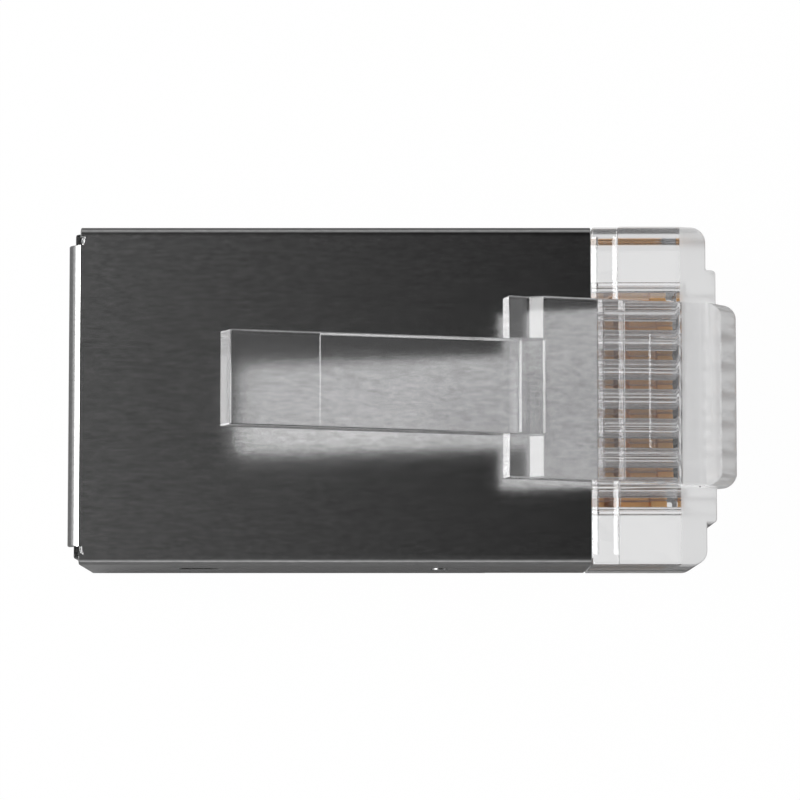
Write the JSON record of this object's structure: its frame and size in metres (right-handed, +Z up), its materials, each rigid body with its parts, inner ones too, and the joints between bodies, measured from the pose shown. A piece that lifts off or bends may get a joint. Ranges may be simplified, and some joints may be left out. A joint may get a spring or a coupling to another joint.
{
  "type": "rj45 modular plug",
  "caption": "Shielded modular plug with a clear housing, a folded metal shield, gold-plated contact blades and a latch that presses down.",
  "frame": {"origin": "middle of the plug's box, on the plane of the contact side that it lies on", "axes": "+X points to the nose, +Y across the plug, +Z up through the latch side"},
  "size_m": [0.023, 0.0116, 0.0132],
  "materials": {
    "clear_moulding": "clear polished polycarbonate",
    "clear_latch": "clear polished polycarbonate",
    "shield_sheet": "satin nickel plate",
    "contact_gold": "gold plate"
  },
  "bodies": {
    "plug": {"housing": "clear_moulding", "shield": "shield_sheet", "contact_1": "contact_gold", "contact_2": "contact_gold", "contact_3": "contact_gold", "contact_4": "contact_gold", "contact_5": "contact_gold", "contact_6": "contact_gold", "contact_7": "contact_gold", "contact_8": "contact_gold"},
    "latch": {"latch": "clear_latch"}
  },
  "joints": [
    {"name": "latch_bend", "type": "hinge", "parent": "plug", "child": "latch", "pos_m": [0.01016, 0, 0.00672], "axis": [0, -1, 0], "range_deg": [0, 17.5], "stiffness_Nm_per_rad": 0.02}
  ]
}
